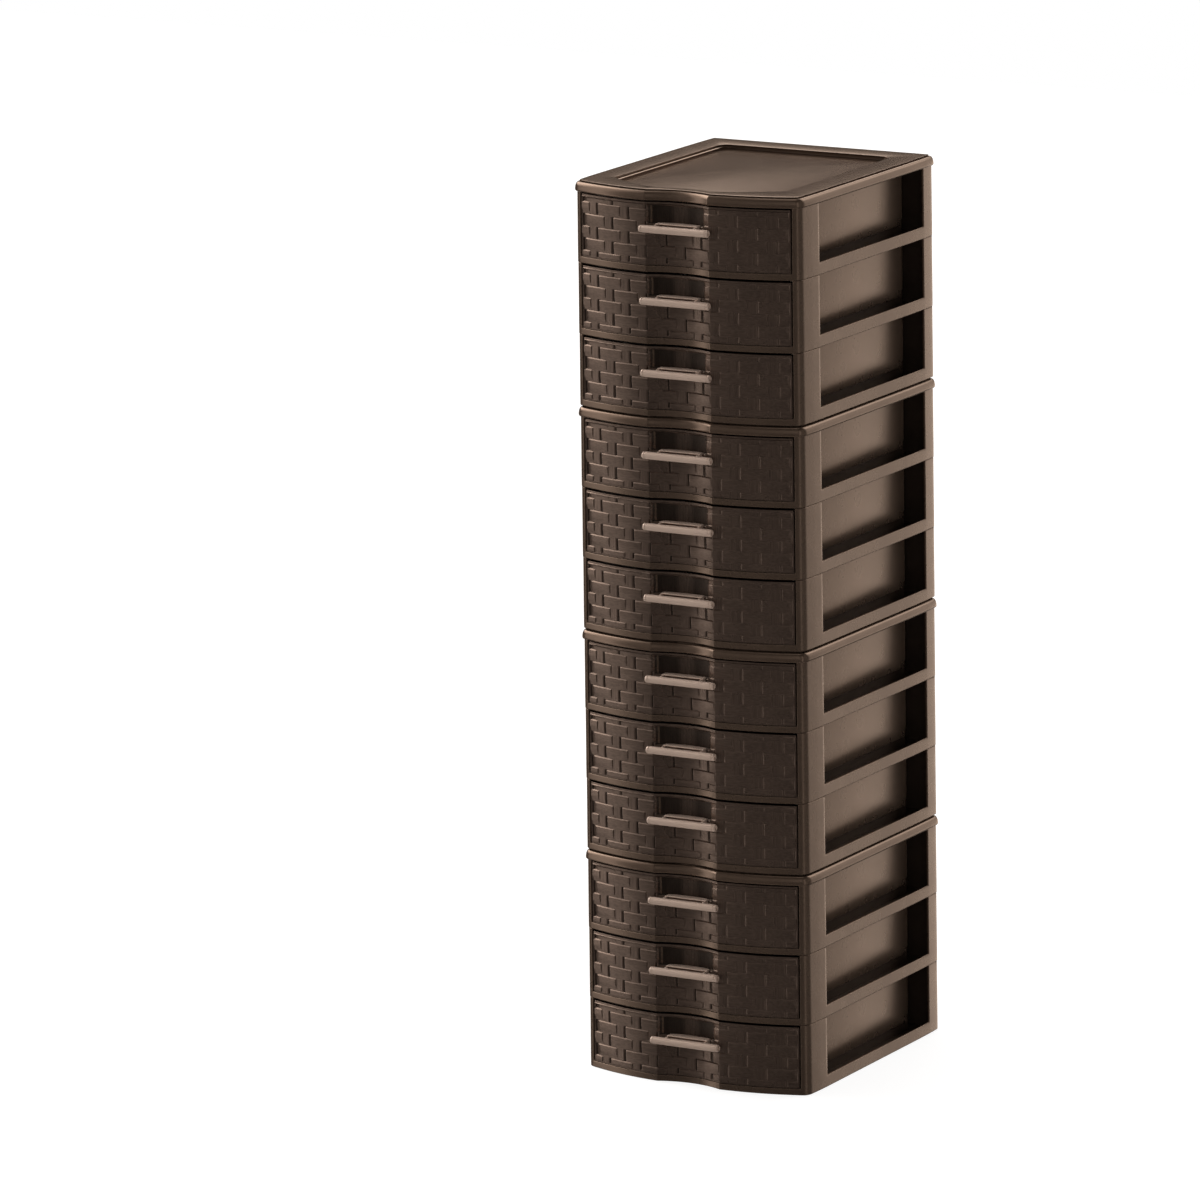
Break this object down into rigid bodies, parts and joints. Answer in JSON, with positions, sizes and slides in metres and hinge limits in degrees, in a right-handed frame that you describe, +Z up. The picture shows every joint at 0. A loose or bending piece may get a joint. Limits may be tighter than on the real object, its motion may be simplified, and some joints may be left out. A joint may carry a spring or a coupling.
{
  "type": "drawer tower",
  "caption": "Tall tower of stacked plastic drawer units with open sides and recessed top; shallow trays with woven-look scooped fronts and bar handles slide out to a stop.",
  "frame": {"origin": "middle of the footprint at the base: halfway across the width, and halfway from the front of the handles to the back of the covers", "axes": "+Z up, -Y towards the front where the drawers open, +X to the right in a view along +Y"},
  "size_m": [0.274, 0.3335, 0.962],
  "materials": {
    "frame_plastic": "satin moulded polypropylene, espresso brown",
    "cover_plastic": "satin moulded polypropylene, espresso brown",
    "drawer_plastic": "satin moulded polypropylene with a woven texture, espresso brown",
    "handle_plastic": "satin moulded plastic, taupe"
  },
  "bodies": {
    "tower": {"unit1_cover": "cover_plastic", "unit1_frame1": "frame_plastic", "unit1_frame2": "frame_plastic", "unit1_frame3": "frame_plastic", "unit2_cover": "cover_plastic", "unit2_frame1": "frame_plastic", "unit2_frame2": "frame_plastic", "unit2_frame3": "frame_plastic", "unit3_cover": "cover_plastic", "unit3_frame1": "frame_plastic", "unit3_frame2": "frame_plastic", "unit3_frame3": "frame_plastic", "unit4_cover": "cover_plastic", "unit4_frame1": "frame_plastic", "unit4_frame2": "frame_plastic", "unit4_frame3": "frame_plastic"},
    "unit1_drawer1_body": {"unit1_drawer1": "drawer_plastic", "unit1_handle1": "handle_plastic"},
    "unit1_drawer2_body": {"unit1_drawer2": "drawer_plastic", "unit1_handle2": "handle_plastic"},
    "unit1_drawer3_body": {"unit1_drawer3": "drawer_plastic", "unit1_handle3": "handle_plastic"},
    "unit2_drawer1_body": {"unit2_drawer1": "drawer_plastic", "unit2_handle1": "handle_plastic"},
    "unit2_drawer2_body": {"unit2_drawer2": "drawer_plastic", "unit2_handle2": "handle_plastic"},
    "unit2_drawer3_body": {"unit2_drawer3": "drawer_plastic", "unit2_handle3": "handle_plastic"},
    "unit3_drawer1_body": {"unit3_drawer1": "drawer_plastic", "unit3_handle1": "handle_plastic"},
    "unit3_drawer2_body": {"unit3_drawer2": "drawer_plastic", "unit3_handle2": "handle_plastic"},
    "unit3_drawer3_body": {"unit3_drawer3": "drawer_plastic", "unit3_handle3": "handle_plastic"},
    "unit4_drawer1_body": {"unit4_drawer1": "drawer_plastic", "unit4_handle1": "handle_plastic"},
    "unit4_drawer2_body": {"unit4_drawer2": "drawer_plastic", "unit4_handle2": "handle_plastic"},
    "unit4_drawer3_body": {"unit4_drawer3": "drawer_plastic", "unit4_handle3": "handle_plastic"}
  },
  "joints": [
    {"name": "unit1_drawer1_slide", "type": "slide", "parent": "tower", "child": "unit1_drawer1_body", "axis": [0, -1, 0], "range_m": [0, 0.2]},
    {"name": "unit1_drawer2_slide", "type": "slide", "parent": "tower", "child": "unit1_drawer2_body", "axis": [0, -1, 0], "range_m": [0, 0.2]},
    {"name": "unit1_drawer3_slide", "type": "slide", "parent": "tower", "child": "unit1_drawer3_body", "axis": [0, -1, 0], "range_m": [0, 0.2]},
    {"name": "unit2_drawer1_slide", "type": "slide", "parent": "tower", "child": "unit2_drawer1_body", "axis": [0, -1, 0], "range_m": [0, 0.2]},
    {"name": "unit2_drawer2_slide", "type": "slide", "parent": "tower", "child": "unit2_drawer2_body", "axis": [0, -1, 0], "range_m": [0, 0.2]},
    {"name": "unit2_drawer3_slide", "type": "slide", "parent": "tower", "child": "unit2_drawer3_body", "axis": [0, -1, 0], "range_m": [0, 0.2]},
    {"name": "unit3_drawer1_slide", "type": "slide", "parent": "tower", "child": "unit3_drawer1_body", "axis": [0, -1, 0], "range_m": [0, 0.2]},
    {"name": "unit3_drawer2_slide", "type": "slide", "parent": "tower", "child": "unit3_drawer2_body", "axis": [0, -1, 0], "range_m": [0, 0.2]},
    {"name": "unit3_drawer3_slide", "type": "slide", "parent": "tower", "child": "unit3_drawer3_body", "axis": [0, -1, 0], "range_m": [0, 0.2]},
    {"name": "unit4_drawer1_slide", "type": "slide", "parent": "tower", "child": "unit4_drawer1_body", "axis": [0, -1, 0], "range_m": [0, 0.2]},
    {"name": "unit4_drawer2_slide", "type": "slide", "parent": "tower", "child": "unit4_drawer2_body", "axis": [0, -1, 0], "range_m": [0, 0.2]},
    {"name": "unit4_drawer3_slide", "type": "slide", "parent": "tower", "child": "unit4_drawer3_body", "axis": [0, -1, 0], "range_m": [0, 0.2]}
  ]
}
